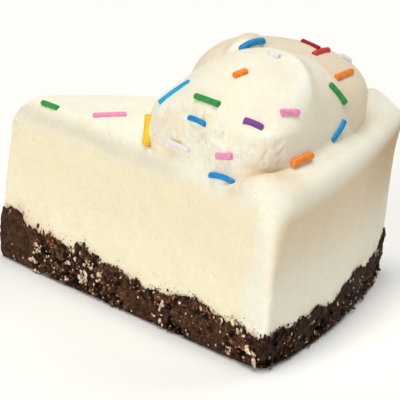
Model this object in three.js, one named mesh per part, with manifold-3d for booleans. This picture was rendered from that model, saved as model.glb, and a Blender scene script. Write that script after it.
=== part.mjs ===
// A cut wedge of ice cream cake: crumb crust, ice cream, a whipped coat on top and round the outer
// wall, and one piped swirl of whipped cream with sugar sprinkles.
// Millimetres, +Z up. The pointed tip looks to -X, the curved outer wall to +X, and the wedge stands
// on its flat crust at z = 0. The formulas below are written with the tip of the wedge at x = 0,
// y = 0, and the group at the end moves the slice so that it is centred on the origin.
import * as THREE from 'three';
import { mergeVertices } from 'three/addons/utils/BufferGeometryUtils.js';
import Module from 'manifold-3d';

const wasm = await Module();
wasm.setup();

// Driving dimensions of the slice
const SLICE_LENGTH = 94.2;            // tip to the middle of the outer wall
const HALF_ANGLE = Math.PI * 26 / 180; // half of the angle between the two cut faces
const HALF_CHORD = 43.8;              // half of the distance between the two outer corners
const WALL_BULGE = 4.3;               // how far the outer wall swells past that chord
const WALL_FLARE = 0.035;             // the outer wall leans out by this much per millimetre of height
const TOP = 45.0;                     // height of the whipped top
const CENTRE_X = 47.5;                // middle of the slice, measured from the tip
const GAP = 0.3;                      // clearance between two neighbouring layers

// The outer wall's top edge stands out towards the far corner
const LIP = { flare: 1.1, from: 15, reach: 25, height: 44, width: 8 };

// The tip's upright edge is crisp at the crust and softer towards the top; widths of the roundings
const TIP_EDGE = { low: 1.0, high: 3.8, from: 10, to: 40 };
const OUTER_EDGE = { width: 2.4, upperNear: 5.5, footNear: 4.5, reach: 5, lessAtFar: 0.8 };
const TOP_EDGE = { width: 2.6, extraAtTip: 7, tipReach: 11, atWall: 2, extraNear: 4, wallReach: 9 };

// The soft rim along the outer wall, higher towards +Y, and its slope down to the wall's top edge
const RIM = { height: 4.4, risePerY: 0.058, inset: 8, width: 5, crest: 3.5 };
const RIM_SLOPE = { edge: 44.3, risePerY: 0.03, dropAtCut: 2.4, dropReach: 9, steepness: 0.88 };

// Driving dimensions of the layers
const CRUST_HEIGHT = 10.1;
const TOP_COAT = 6.0;                 // thickness of the whipped coat on the ice cream
const WALL_COAT = 7.6;                // its thickness on the outer wall
const CRUMB_SIZE = 4.2;               // spacing of the coarse crumbs in the crust
const FINE_CRUMB_SIZE = 2.1;
const CRUMB_RELIEF = 1.5;             // their height from pit to peak
const SOLE_INSET = 0.4;               // the smooth flat sole is this much narrower than the walls

// The line between crust and cream: a high patch at the tip, two humps and a dip along the near cut,
// lower at the outer wall but rising at the far corner, and ragged all along
const TIP_RISE = { height: 3.8, from: 7, reach: 5 };
const LINE_HUMPS = [
  { height: 1.0, at: 17, width: 6 },
  { height: 2.1, at: 29.2, width: 2.4 },
  { height: 1.3, at: 67, width: 3.4 },
  { height: -1.3, at: 53, width: 8 },
];
const WALL_LINE = { drop: 0.8, width: 7, nearDip: 1.5, hump: 1.8, farRise: 3.0 };
const RAGGED = { height: 1.5, spacing: 3.0 };

// The swirl is five soft lobes run together; each is an ellipsoid: centre, radii, a pitch in degrees
// and how boxy it is, 2 being round
const FRONT_CAP = { centre: [70, -8, 43], radii: [21.5, 30, 25.5], pitch: 0, power: 2 };
const FRONT_TONGUE = { centre: [60.5, -8, 49.5], radii: [19.5, 17, 11.5], pitch: 27, power: 2 };
const LEFT_LOBE = { centre: [60.5, 8, 49.5], radii: [13.9, 17, 16.8], pitch: 0, power: 2 };
const CURL = { centre: [61.6, 6, 57.6], radii: [6.3, 12, 10.9], pitch: 0, power: 2 };
const BACK_LOBE = { centre: [69.2, 12.5, 53.6], radii: [21.9, 18, 12.2], pitch: -2.5, power: 2.3 };
const CAP_DRAWN_OUT = 0.92;           // the cap is this much flatter in X right of its centre

// The torn shelf where the knife cut the swirl: its top, its floor and how soft its edges are
const SHELF = { top: 56.5, floor: 38, edge: 9.5, back: -4, backEdge: 8 };
const SHELF_LEFT = { x: 48.5, y: -22, outX: -0.953, outY: -0.304 };

// The swirl's steep flank towards the near corner and the outer wall, hollowed at its foot
const FLANK = { foot: 46, lean: 0.30, front: -37.2, fromWall: 4.8, corner: 4, wallCorner: 5 };
const FLANK_CORNER = { x: 85.9, y: -34.6, outX: 0.77, outY: -0.64 };
const HOLLOW = { depth: 2.0, at: 0.8, width: 3.4 };

const LOBE_BLEND = { front: 6, shelf: 3, flank: 2.5, curl: 0.8, left: 0.4, back: 2.2, backOnRight: 3.6 };
const PAST_CUT = 5;                   // how far the swirl stands past the cuts before the knife
const SWIRL_CENTRE = [66, 2, 50];

const SPRINKLE_RISE = 0.2;            // a rod's axis above the cream, as a share of its radius

// Sprinkles on the swirl, placed by the direction from its centre (heading and climb in degrees),
// by the turn of the rod on the surface, and by length, radius and bend in millimetres.
const SWIRL_SPRINKLES = [
  { heading: -130, climb: -4, turn: -52, length: 7.9, radius: 1.0, bend: 0.2 },
  { heading: -123, climb: 18, turn: 81, length: 9.5, radius: 0.7, bend: 0.7 },
  { heading: -92, climb: 19, turn: 1, length: 8.2, radius: 0.8, bend: 0 },
  { heading: -94, climb: 10, turn: -2, length: 5.8, radius: 0.7, bend: 0.2 },
  { heading: -80, climb: 35, turn: 51, length: 3.7, radius: 0.9, bend: 0 },
  { heading: 169, climb: 83, turn: 7, length: 8.4, radius: 0.95, bend: 0.6 },
  { heading: -52, climb: 56, turn: -88, length: 3.3, radius: 0.85, bend: 0 },
  { heading: 61, climb: 41, turn: -163, length: 6.4, radius: 0.65, bend: 0.2 },
  { heading: 43, climb: 41, turn: -24, length: 8.3, radius: 0.85, bend: 0.3 },
  { heading: 46, climb: 27, turn: -81, length: 3.4, radius: 0.8, bend: 0 },
  { heading: 19, climb: 28, turn: -5, length: 9.2, radius: 0.85, bend: 0 },
  { heading: -2, climb: 22, turn: -60, length: 6.7, radius: 0.8, bend: 0.2 },
  { heading: -8, climb: 0, turn: -147, length: 7.2, radius: 0.8, bend: 0.5 },
  { heading: -54, climb: 17, turn: -8, length: 5.2, radius: 0.9, bend: 0 },
  { heading: -70, climb: 12, turn: -27, length: 5.0, radius: 0.9, bend: 0.3 },
  { heading: -48, climb: -3, turn: -1, length: 9.0, radius: 0.95, bend: 0.1 },
  { heading: -104, climb: -4, turn: -1, length: 7.5, radius: 0.65, bend: 0.2 },
  { heading: -80, climb: -1, turn: 11, length: 4.3, radius: 0.85, bend: 0 },
  { heading: -80, climb: -9, turn: -2, length: 7.1, radius: 0.75, bend: 0.5 },
];

// Sprinkles on the flat whipped top near the tip, placed by plan position and bearing in degrees
const TOP_SPRINKLES = [
  { x: 14.3, y: -5.4, bearing: -28, length: 6.6, radius: 0.75, bend: 0 },
  { x: 31.4, y: -7.5, bearing: 39, length: 8.5, radius: 0.85, bend: 0.1 },
];

// ---- soft joins of two distance values, k being the width of the blend ----

function softMin(a, b, k) {
  const h = Math.min(Math.max(0.5 + 0.5 * (b - a) / k, 0), 1);
  return b * (1 - h) + a * h - k * h * (1 - h);
}

function softMax(a, b, k) {
  return -softMin(-a, -b, k);
}

function hump(value, middle, width) {
  return Math.exp(-(((value - middle) / width) ** 2));
}

function smoothStep(value) {
  const t = Math.min(Math.max(value, 0), 1);
  return t * t * (3 - 2 * t);
}

// ---- seeded lattice noise between 0 and 1 for the crumbs ----

function latticeValue(i, j, k) {
  let n = Math.imul(i, 374761393) + Math.imul(j, 668265263) + Math.imul(k, 1274126177);
  n = Math.imul(n ^ (n >>> 13), 1103515245);
  return ((n ^ (n >>> 16)) >>> 0) / 4294967296;
}

function noise(x, y, z) {
  const i = Math.floor(x);
  const j = Math.floor(y);
  const k = Math.floor(z);
  const u = smoothStep(x - i);
  const v = smoothStep(y - j);
  const w = smoothStep(z - k);
  const mix = (a, b, t) => a + (b - a) * t;
  const layer = (kk) => mix(
    mix(latticeValue(i, j, kk), latticeValue(i + 1, j, kk), u),
    mix(latticeValue(i, j + 1, kk), latticeValue(i + 1, j + 1, kk), u), v);
  return mix(layer(k), layer(k + 1), w);
}

// ---- the form of the slice as distance values, negative inside ----

function nearCut(x, y) {
  return -(x * Math.sin(HALF_ANGLE) + y * Math.cos(HALF_ANGLE));
}

function farCut(x, y) {
  return -(x * Math.sin(HALF_ANGLE) - y * Math.cos(HALF_ANGLE));
}

const WALL_RADIUS = (HALF_CHORD ** 2 + WALL_BULGE ** 2) / (2 * WALL_BULGE);

function outerWall(x, y, z) {
  const lip = LIP.flare * smoothStep((y - LIP.from) / LIP.reach) * hump(z, LIP.height, LIP.width);
  return Math.hypot(x - (SLICE_LENGTH - WALL_RADIUS), y) - WALL_RADIUS - WALL_FLARE * (z - 10) - lip;
}

function cutSides(x, y, z) {
  const rise = THREE.MathUtils.clamp((z - TIP_EDGE.from) / (TIP_EDGE.to - TIP_EDGE.from), 0, 1);
  return softMax(nearCut(x, y), farCut(x, y), THREE.MathUtils.lerp(TIP_EDGE.low, TIP_EDGE.high, rise));
}

// How softly the outer wall meets the cuts: softer at the top and the foot of the near corner.
function outerEdge(x, y, z) {
  const near = Math.exp(Math.min(nearCut(x, y), 0) / OUTER_EDGE.reach);
  const upper = OUTER_EDGE.upperNear * smoothStep((z - 24) / 16);
  const foot = OUTER_EDGE.footNear * smoothStep((7 - z) / 6);
  return OUTER_EDGE.width + near * (upper + foot) - OUTER_EDGE.lessAtFar * smoothStep((y - 25) / 12);
}

function wedgeSides(x, y, z) {
  return softMax(cutSides(x, y, z), outerWall(x, y, z), outerEdge(x, y, z));
}

// The whipped top, with its rim along the outer wall and the slope from the rim down to the wall.
function topLevel(x, y, z) {
  const wall = outerWall(x, y, z);
  const rim = (RIM.height + RIM.risePerY * y) * hump(wall, -RIM.inset, RIM.width);
  const drop = RIM_SLOPE.dropAtCut * Math.exp(Math.min(nearCut(x, y), 0) / RIM_SLOPE.dropReach);
  const edge = RIM_SLOPE.edge + RIM_SLOPE.risePerY * y - drop;
  const slope = (z - edge + RIM_SLOPE.steepness * wall) / Math.hypot(1, RIM_SLOPE.steepness);
  return softMax(z - TOP - rim, slope, RIM.crest);
}

function sliceField(x, y, z) {
  const wall = outerWall(x, y, z);
  const nearSide = 1 - smoothStep((y + 5) / 25);
  const edge = TOP_EDGE.width + TOP_EDGE.extraAtTip * hump(x, 0, TOP_EDGE.tipReach)
    + (TOP_EDGE.atWall + TOP_EDGE.extraNear * nearSide) * hump(wall, 0, TOP_EDGE.wallReach);
  return softMax(softMax(cutSides(x, y, z), topLevel(x, y, z), edge), wall, outerEdge(x, y, z));
}

// Coarse crumbs of two sizes stand out of the crust's cut faces and its outer wall.
function crumbs(x, y, z) {
  const coarse = noise(x / CRUMB_SIZE, y / CRUMB_SIZE, z / CRUMB_SIZE) - 0.55;
  const fine = noise(x / FINE_CRUMB_SIZE, y / FINE_CRUMB_SIZE, z / FINE_CRUMB_SIZE) - 0.5;
  return CRUMB_RELIEF * (0.65 * coarse + 0.35 * fine);
}

function crustField(x, y, z) {
  return wedgeSides(x, y, z) - crumbs(x, y, z);
}

// Height of the line between crust and cream.
function crustLine(x, y) {
  const tipRise = TIP_RISE.height * (1 - smoothStep((x - TIP_RISE.from) / TIP_RISE.reach));
  const humps = LINE_HUMPS.reduce((sum, one) => sum + one.height * hump(x, one.at, one.width), 0);
  const onWall = hump(outerWall(x, y, CRUST_HEIGHT), 0, WALL_LINE.width);
  const wallLine = WALL_LINE.hump * hump(y, 9, 7) - WALL_LINE.nearDip * hump(y, -9, 5)
    + WALL_LINE.farRise * smoothStep((y - 31) / 10) - WALL_LINE.drop;
  const ragged = RAGGED.height * (noise(x / RAGGED.spacing, y / RAGGED.spacing, 0) - 0.5);
  return CRUST_HEIGHT + tipRise + humps + onWall * wallLine + ragged;
}

function ellipsoid(lobe, x, y, z) {
  const pitch = lobe.pitch * Math.PI / 180;
  const dx = x - lobe.centre[0];
  const dz = z - lobe.centre[2];
  const across = Math.abs(dx * Math.cos(pitch) + dz * Math.sin(pitch)) / lobe.radii[0];
  const along = Math.abs(y - lobe.centre[1]) / lobe.radii[1];
  const up = Math.abs(-dx * Math.sin(pitch) + dz * Math.cos(pitch)) / lobe.radii[2];
  const power = lobe.power;
  const level = Math.max((across ** power + along ** power + up ** power) ** (1 / power), 1e-9);
  const lean = (share, radius) => (share / level) ** (power - 1) / radius;
  const slope = Math.hypot(lean(across, lobe.radii[0]), lean(along, lobe.radii[1]), lean(up, lobe.radii[2]));
  return (level - 1) / Math.max(slope, 1e-9);
}

// The torn shelf below the front lobe, reaching out to the near cut face.
function shelf(x, y, z) {
  const left = SHELF_LEFT.outX * (x - SHELF_LEFT.x) + SHELF_LEFT.outY * (y - SHELF_LEFT.y);
  const sides = softMax(left, y - SHELF.back, SHELF.backEdge);
  return softMax(softMax(sides, z - SHELF.top, SHELF.edge), SHELF.floor - z, 2);
}

// The steep flank keeps the swirl clear of the near corner and of the outer wall.
function swirlFlank(x, y, z) {
  const height = z - FLANK.foot;
  const hollow = HOLLOW.depth * hump(height, HOLLOW.at, HOLLOW.width);
  const front = FLANK.front - y + FLANK.lean * height + hollow;
  const corner = FLANK_CORNER.outX * (x - FLANK_CORNER.x) + FLANK_CORNER.outY * (y - FLANK_CORNER.y)
    + FLANK.lean * height + hollow;
  const right = outerWall(x, y, z) + FLANK.fromWall + FLANK.lean * height + 0.5 * hollow;
  return softMax(softMax(front, corner, FLANK.corner), right, FLANK.wallCorner) / 1.05;
}

// The broad front lobe, drawn out to the right.
function frontCap(x, y, z) {
  const past = Math.max(x - FRONT_CAP.centre[0], 0);
  return ellipsoid(FRONT_CAP, x - (1 - CAP_DRAWN_OUT) * past, y, z);
}

function swirlField(x, y, z) {
  const front = softMin(frontCap(x, y, z), ellipsoid(FRONT_TONGUE, x, y, z), LOBE_BLEND.front);
  const withShelf = softMin(shelf(x, y, z), front, LOBE_BLEND.shelf);
  const body = softMax(withShelf, swirlFlank(x, y, z), LOBE_BLEND.flank);
  const left = softMin(ellipsoid(LEFT_LOBE, x, y, z), ellipsoid(CURL, x, y, z), LOBE_BLEND.curl);
  const backBlend = LOBE_BLEND.back + LOBE_BLEND.backOnRight * smoothStep((x - 72) / 8);
  return softMin(softMin(body, left, LOBE_BLEND.left), ellipsoid(BACK_LOBE, x, y, z), backBlend);
}

// The swirl ends at both cut faces; spare is how far it is left standing past them.
function cutSwirlField(x, y, z, spare = 0) {
  return Math.max(swirlField(x, y, z), nearCut(x, y) - spare, farCut(x, y) - spare);
}

// ---- from a distance value to a closed mesh ----

// The point where a ray from the centre through the aim first leaves the form.
function surfaceOnRay(field, centre, aim) {
  const at = (t) => centre.clone().lerp(aim, t);
  const value = (t) => {
    const p = at(t);
    return field(p.x, p.y, p.z);
  };
  let inside = 0.02;
  let outside = inside;
  while (value(outside) < 0 && outside < 4) {
    inside = outside;
    outside += 0.02;
  }
  for (let step = 0; step < 30; step += 1) {
    const middle = (inside + outside) / 2;
    if (value(middle) < 0) {
      inside = middle;
    } else {
      outside = middle;
    }
  }
  return at(inside);
}

// Closed mesh from loops of points stacked from the bottom point to the top point.
function closedShell(bottom, loops, top) {
  const count = loops[0].length;
  const points = [bottom, ...loops.flat(), top];
  const faces = [];
  const index = (row, i) => 1 + row * count + (i % count);
  for (let i = 0; i < count; i += 1) {
    faces.push(0, index(0, i + 1), index(0, i));
    faces.push(points.length - 1, index(loops.length - 1, i), index(loops.length - 1, i + 1));
  }
  for (let row = 0; row + 1 < loops.length; row += 1) {
    for (let i = 0; i < count; i += 1) {
      faces.push(index(row, i), index(row, i + 1), index(row + 1, i + 1));
      faces.push(index(row, i), index(row + 1, i + 1), index(row + 1, i));
    }
  }
  const flat = points.flatMap((p) => [p.x, p.y, p.z]);
  const geometry = new THREE.BufferGeometry();
  geometry.setAttribute('position', new THREE.Float32BufferAttribute(flat, 3));
  geometry.setIndex(faces);
  return geometry;
}

// Points of a straight edge, closer together towards its two ends.
function edgePoints(from, to, pieces, crowding) {
  return Array.from({ length: pieces }, (_, i) => {
    const even = i / pieces;
    const crowded = 0.5 - 0.5 * Math.cos(Math.PI * even);
    return from.clone().lerp(to, even * (1 - crowding) + crowded * crowding);
  });
}

// The wedge in plan, anticlockwise from the tip: near cut, outer wall, far cut.
function planOutline(cutPieces, wallPieces, crowding) {
  const tip = new THREE.Vector2(0, 0);
  const reach = SLICE_LENGTH - WALL_BULGE;
  const sweep = Math.asin(HALF_CHORD / WALL_RADIUS);
  const near = edgePoints(tip, new THREE.Vector2(reach, -HALF_CHORD), cutPieces, crowding);
  const far = edgePoints(new THREE.Vector2(reach, HALF_CHORD), tip, cutPieces, crowding);
  const wall = Array.from({ length: wallPieces }, (_, i) => {
    const turn = sweep * (2 * i / wallPieces - 1);
    const middle = SLICE_LENGTH - WALL_RADIUS;
    return new THREE.Vector2(middle + WALL_RADIUS * Math.cos(turn), WALL_RADIUS * Math.sin(turn));
  });
  return [...near, ...wall, ...far];
}

function wallLoop(field, outline, height) {
  const axis = new THREE.Vector3(60, 0, height);
  return outline.map((p) => surfaceOnRay(field, axis, new THREE.Vector3(p.x, p.y, height)));
}

// The whole slice without its swirl, grown outwards by the given amount.
function sliceShell(growth) {
  const field = (x, y, z) => sliceField(x, y, z) - growth;
  const outline = planOutline(22, 20, 0.45);
  const middle = new THREE.Vector3(60, 0, TOP);
  const base = -growth;
  const walls = [0.7, 16, 27, 35, 39.5, 42.5].map((height) => wallLoop(field, outline, height));
  const inset = [0.0, 0.025, 0.055, 0.09, 0.135, 0.19, 0.27, 0.4, 0.6];
  const tops = inset.map((share) => outline.map((p) => {
    const aim = new THREE.Vector3(p.x, p.y, TOP).lerp(middle, share);
    const start = aim.clone().lerp(middle, 0.2).setZ(24);
    return surfaceOnRay(field, start, aim);
  }));
  const sole = walls[0].map((p) => new THREE.Vector3(p.x, p.y, base));
  const top = surfaceOnRay(field, middle.clone().setZ(24), middle);
  return closedShell(new THREE.Vector3(60, 0, base), [sole, ...walls, ...tops], top);
}

// The crust before its top is cut to the ragged line.
function crustShell() {
  const outline = planOutline(46, 42, 0.1);
  const heights = [1.1, 2.8, 4.5, 6.2, 7.9, 9.8, 12, 15.6];
  const sole = wallLoop((x, y, z) => wedgeSides(x, y, z) + SOLE_INSET, outline, 0);
  const walls = heights.map((height) => wallLoop(crustField, outline, height));
  return closedShell(new THREE.Vector3(60, 0, 0), [sole, ...walls], new THREE.Vector3(60, 0, 15.6));
}

// A block below the ragged line, raised by the given amount, wider than the slice.
function lowerBlock(raise) {
  const columns = 34;
  const rows = 32;
  const geometry = new THREE.BoxGeometry(102, 96, 2, columns, rows, 1);
  const positions = geometry.attributes.position;
  for (let i = 0; i < positions.count; i += 1) {
    const x = positions.getX(i) + 47;
    const y = positions.getY(i);
    const isTop = positions.getZ(i) > 0;
    positions.setXYZ(i, x, y, isTop ? crustLine(x, y) + raise : -6);
  }
  return geometry;
}

// The space of the ice cream: under the top coat, inside the wall coat, grown by the given amount.
function iceCreamSpace(growth) {
  const middle = SLICE_LENGTH - WALL_RADIUS;
  const radius = WALL_RADIUS - WALL_COAT + growth;
  const sweep = 0.27;
  const shape = new THREE.Shape();
  shape.moveTo(-8, -60);
  shape.lineTo(middle + radius * Math.cos(sweep), -60);
  for (let i = 0; i <= 18; i += 1) {
    const turn = sweep * (i / 9 - 1);
    shape.lineTo(middle + radius * Math.cos(turn), radius * Math.sin(turn));
  }
  shape.lineTo(middle + radius * Math.cos(sweep), 60);
  shape.lineTo(-8, 60);
  const height = TOP - TOP_COAT + growth;
  return new THREE.ExtrudeGeometry(shape, { depth: height, bevelEnabled: false, steps: 1 });
}

// The point of the swirl seen from its centre in one direction; both angles are in degrees.
function swirlPoint(field, heading, climb) {
  const centre = new THREE.Vector3(...SWIRL_CENTRE);
  const polar = THREE.MathUtils.degToRad(90 - climb);
  const turn = THREE.MathUtils.degToRad(heading + 90);
  const reach = new THREE.Vector3().setFromSphericalCoords(16, polar, turn);
  const aim = centre.clone().add(new THREE.Vector3(reach.x, -reach.z, reach.y));
  return surfaceOnRay(field, centre, aim);
}

// The swirl before the knife: rings of rays from its centre, from straight down to straight up.
function swirlShell() {
  const around = 64;
  const rings = 29;
  const uncut = (x, y, z) => cutSwirlField(x, y, z, PAST_CUT);
  const loops = Array.from({ length: rings }, (_, row) => {
    const climb = 180 * (row + 1) / (rings + 1) - 90;
    return Array.from({ length: around }, (__, i) => swirlPoint(uncut, 360 * i / around, climb));
  });
  return closedShell(swirlPoint(uncut, 0, -90), loops, swirlPoint(uncut, 0, 90));
}

// Everything between the two cut faces above the crust.
function betweenCuts() {
  const reach = 130;
  const shape = new THREE.Shape();
  shape.moveTo(0, 0);
  shape.lineTo(reach, -reach * Math.tan(HALF_ANGLE));
  shape.lineTo(reach, reach * Math.tan(HALF_ANGLE));
  return new THREE.ExtrudeGeometry(shape, { depth: 70, bevelEnabled: false, steps: 1 }).translate(0, 0, 20);
}

// ---- sprinkles ----

// A sugar rod with soft ends, lying along one tangent of the surface and bent towards it.
function rod(middle, normal, along, length, radius, bend) {
  const side = normal.clone().cross(along).normalize();
  const stations = [
    { at: -0.5, width: 0.62 },
    { at: -0.38, width: 1 },
    { at: 0.38, width: 1 },
    { at: 0.5, width: 0.62 },
  ];
  const loops = stations.map(({ at, width }) => {
    const sag = bend * (1 - (2 * at) ** 2) - bend / 2;
    const core = middle.clone().addScaledVector(along, at * length).addScaledVector(side, sag);
    return Array.from({ length: 6 }, (_, i) => {
      const turn = Math.PI * 2 * i / 6;
      return core.clone().addScaledVector(side, radius * width * Math.cos(turn))
        .addScaledVector(normal, radius * width * Math.sin(turn));
    });
  });
  const start = middle.clone().addScaledVector(along, -0.53 * length).addScaledVector(side, -bend / 2);
  const end = middle.clone().addScaledVector(along, 0.53 * length).addScaledVector(side, -bend / 2);
  return closedShell(start, loops, end);
}

function normalOf(field, p) {
  const e = 0.4;
  return new THREE.Vector3(
    field(p.x + e, p.y, p.z) - field(p.x - e, p.y, p.z),
    field(p.x, p.y + e, p.z) - field(p.x, p.y - e, p.z),
    field(p.x, p.y, p.z + e) - field(p.x, p.y, p.z - e)).normalize();
}

function swirlSprinkle(spec) {
  const turn = THREE.MathUtils.degToRad(spec.turn);
  const foot = swirlPoint(cutSwirlField, spec.heading, spec.climb);
  const normal = normalOf(cutSwirlField, foot);
  const level = new THREE.Vector3(0, 0, 1).cross(normal).normalize();
  const uphill = normal.clone().cross(level);
  const along = level.multiplyScalar(Math.cos(turn)).addScaledVector(uphill, Math.sin(turn));
  const middle = foot.addScaledVector(normal, SPRINKLE_RISE * spec.radius);
  return rod(middle, normal, along, spec.length, spec.radius, spec.bend);
}

function topSprinkle(spec) {
  const below = new THREE.Vector3(spec.x, spec.y, 20);
  const foot = surfaceOnRay(sliceField, below, new THREE.Vector3(spec.x, spec.y, TOP));
  const normal = normalOf(sliceField, foot);
  const bearing = THREE.MathUtils.degToRad(spec.bearing);
  const level = new THREE.Vector3(Math.cos(bearing), Math.sin(bearing), 0);
  const along = level.addScaledVector(normal, -level.dot(normal)).normalize();
  const middle = foot.addScaledVector(normal, SPRINKLE_RISE * spec.radius);
  return rod(middle, normal, along, spec.length, spec.radius, spec.bend);
}

// ---- joining and cutting ----

function toSolid(geometry) {
  const bare = geometry.clone();
  bare.deleteAttribute('normal');
  bare.deleteAttribute('uv');
  const merged = mergeVertices(bare, 1e-4);
  return new wasm.Manifold(new wasm.Mesh({
    numProp: 3,
    vertProperties: new Float32Array(merged.attributes.position.array),
    triVerts: new Uint32Array(merged.index.array),
  }));
}

function toGeometry(solid) {
  const mesh = solid.getMesh();
  const geometry = new THREE.BufferGeometry();
  geometry.setAttribute('position', new THREE.BufferAttribute(new Float32Array(mesh.vertProperties), 3));
  geometry.setIndex(new THREE.BufferAttribute(new Uint32Array(mesh.triVerts), 1));
  geometry.computeVertexNormals();
  return geometry;
}

function addAll(solid, geometries) {
  return geometries.reduce((sum, geometry) => sum.add(toSolid(geometry)), solid);
}

// ---- the four layers ----

function makeCrust() {
  return toSolid(crustShell()).intersect(toSolid(lowerBlock(0)));
}

function makeIceCream(slice, aboveCrust) {
  return slice.intersect(toSolid(iceCreamSpace(0))).subtract(aboveCrust);
}

function makeCoat(slice, aboveCrust) {
  const coat = slice.subtract(toSolid(iceCreamSpace(GAP))).subtract(aboveCrust);
  return addAll(coat, TOP_SPRINKLES.map(topSprinkle));
}

function makeSwirl() {
  const swirl = toSolid(swirlShell()).intersect(toSolid(betweenCuts()));
  return addAll(swirl, SWIRL_SPRINKLES.map(swirlSprinkle)).subtract(toSolid(sliceShell(GAP)));
}

function layer(name, solid, color, roughness) {
  const material = new THREE.MeshStandardMaterial({ color, roughness, metalness: 0 });
  const mesh = new THREE.Mesh(toGeometry(solid), material);
  mesh.name = name;
  return mesh;
}

const slice = toSolid(sliceShell(0));
const crustTop = toSolid(lowerBlock(GAP));

const cake = new THREE.Group();
cake.add(layer('crumb_crust', makeCrust(), 0x3a241b, 0.9));
cake.add(layer('ice_cream', makeIceCream(slice, crustTop), 0xf4ebc8, 0.6));
cake.add(layer('whipped_coat', makeCoat(slice, crustTop), 0xf6f1df, 0.55));
cake.add(layer('whipped_swirl', makeSwirl(), 0xf3eddb, 0.55));
cake.position.x = -CENTRE_X;

export default cake;
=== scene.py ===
import math
import bmesh
import bpy
import numpy as np
from mathutils import Matrix, Vector


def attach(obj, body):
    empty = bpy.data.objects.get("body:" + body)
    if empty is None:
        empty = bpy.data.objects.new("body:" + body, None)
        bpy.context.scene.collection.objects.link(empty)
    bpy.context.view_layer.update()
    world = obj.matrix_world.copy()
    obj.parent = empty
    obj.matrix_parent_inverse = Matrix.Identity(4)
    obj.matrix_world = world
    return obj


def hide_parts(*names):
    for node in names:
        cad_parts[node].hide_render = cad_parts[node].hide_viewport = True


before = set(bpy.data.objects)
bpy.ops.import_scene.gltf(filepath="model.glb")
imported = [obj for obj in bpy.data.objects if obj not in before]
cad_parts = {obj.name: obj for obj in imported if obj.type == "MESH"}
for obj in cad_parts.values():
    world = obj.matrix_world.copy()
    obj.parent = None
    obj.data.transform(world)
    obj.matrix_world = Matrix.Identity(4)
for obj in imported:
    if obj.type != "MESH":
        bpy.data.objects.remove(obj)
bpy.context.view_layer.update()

# The slice's formulas are in millimetres with the pointed tip at x = 0, y = 0; the frame's origin is
# under the middle of the slice.
MM = 0.001
CENTRE_X = 47.5

# Slice
SLICE_LENGTH = 94.2
HALF_ANGLE = math.radians(26)
HALF_CHORD = 43.8
WALL_BULGE = 4.3
WALL_FLARE = 0.035
TOP = 45.0
WALL_RADIUS = (HALF_CHORD ** 2 + WALL_BULGE ** 2) / (2 * WALL_BULGE)
WALL_MIDDLE = SLICE_LENGTH - WALL_RADIUS
CUT_REACH = SLICE_LENGTH - WALL_BULGE

# Edges: the tip's rounding low down and what it gains upwards, the outer wall's and what that gains at the
# near corner's top and foot and loses at the far corner, and the lip along the wall's top edge
TIP_EDGE = 1.0
TIP_EDGE_GAIN = 2.8
WALL_EDGE = 2.4
CORNER_TOP_GAIN = 5.5
CORNER_FOOT_GAIN = 4.5
FAR_CORNER_LOSS = 0.8
LIP_FLARE = 1.1
LIP_HEIGHT = 44

# Soft rim on the flat top along the outer wall, and the slope from it down to the wall
RIM_HEIGHT = 4.4
RIM_RISE_PER_Y = 0.058
RIM_INSET = 8
SLOPE_EDGE = 44.3
SLOPE_RISE_PER_Y = 0.03
SLOPE_DROP_AT_CUT = 2.4
SLOPE_STEEPNESS = 0.88

# Layers
CRUST_HEIGHT = 10.1
TOP_COAT = 6.0
WALL_COAT = 7.6
CREAM_FLOOR = 7.2

# Line between crust and cream: the rise at the tip, then height, place and width of its humps and dip
TIP_RISE = 3.8
LINE_HUMPS = [(1.0, 17, 6), (2.1, 29.2, 2.4), (1.3, 67, 3.4), (-1.3, 53, 8)]
LINE_RAGGED = 1.5

# Crust: middle of its plan, points along the near cut, wall and far cut, loops from foot to line, and size
# and seed of its three sizes of pebble
CRUST_MIDDLE = np.array([60, 0, 0])
CRUST_COUNTS = (400, 330, 210)
CRUST_LEVELS = 48
BIG_PEBBLES = (2.6, 1)
MIDDLE_PEBBLES = (1.2, 2)
SMALL_PEBBLES = (0.65, 3)

# Crumbs on each side: those pressed into the crust and those above its line
PRESSED_CRUMBS = [("near", 480), ("wall", 300), ("far", 280)]
CRUMBS_ABOVE = [("near", 120), ("wall", 25), ("far", 40)]

# Bits of cream between the crumbs: clusters near the tip with a few bits each, single ones on each side,
# and the streak at the near corner
BIT_CLUSTERS = 13
BITS_IN_CLUSTER = 5
NEAR_BITS = 40
STREAK_BITS = 12
WALL_BITS = 34
FAR_BITS = 40

# Swirl: centre, radii and pitch in degrees of each lobe, and how boxy it is where that isn't 2; then the
# crest on the front cap, the folds between lobes, the torn shelf and the steep flank
FRONT_CAP = ((70, -8, 43), (21.5, 30, 25.5), 0)
FRONT_TONGUE = ((60.5, -8, 49.5), (19.5, 17, 11.5), 27)
LEFT_LOBE = ((60.5, 8, 49.5), (13.9, 17, 16.8), 0)
CURL = ((61.6, 6, 57.6), (6.3, 12, 10.9), 0)
BACK_LOBE = ((69.2, 12.5, 53.6), (21.9, 18, 12.2), -2.5, 2.3)
CAP_DRAWN_OUT = 0.92
CREST_HEIGHT = 0.9
FOLD_WIDTH = 0.7
SHELF_TOP = 56.5
SHELF_FLOOR = 38
FLANK_FOOT = 46
FLANK_LEAN = 0.30
FLANK_HOLLOW = 2.0
SWIRL_CENTRE = np.array([66.0, 2.0, 50.0])

# Grid that the creams' surface is found on, and how near the surface the fine relief counts
GRID_STEP = 0.5
CELL_CORNERS = list(np.ndindex(2, 2, 2))
RELIEF_REACH = 1.6

# Turn that takes noise off the axes
SKEW = np.array(Matrix.Rotation(0.9, 3, Vector((1, 2, 3))))

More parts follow.
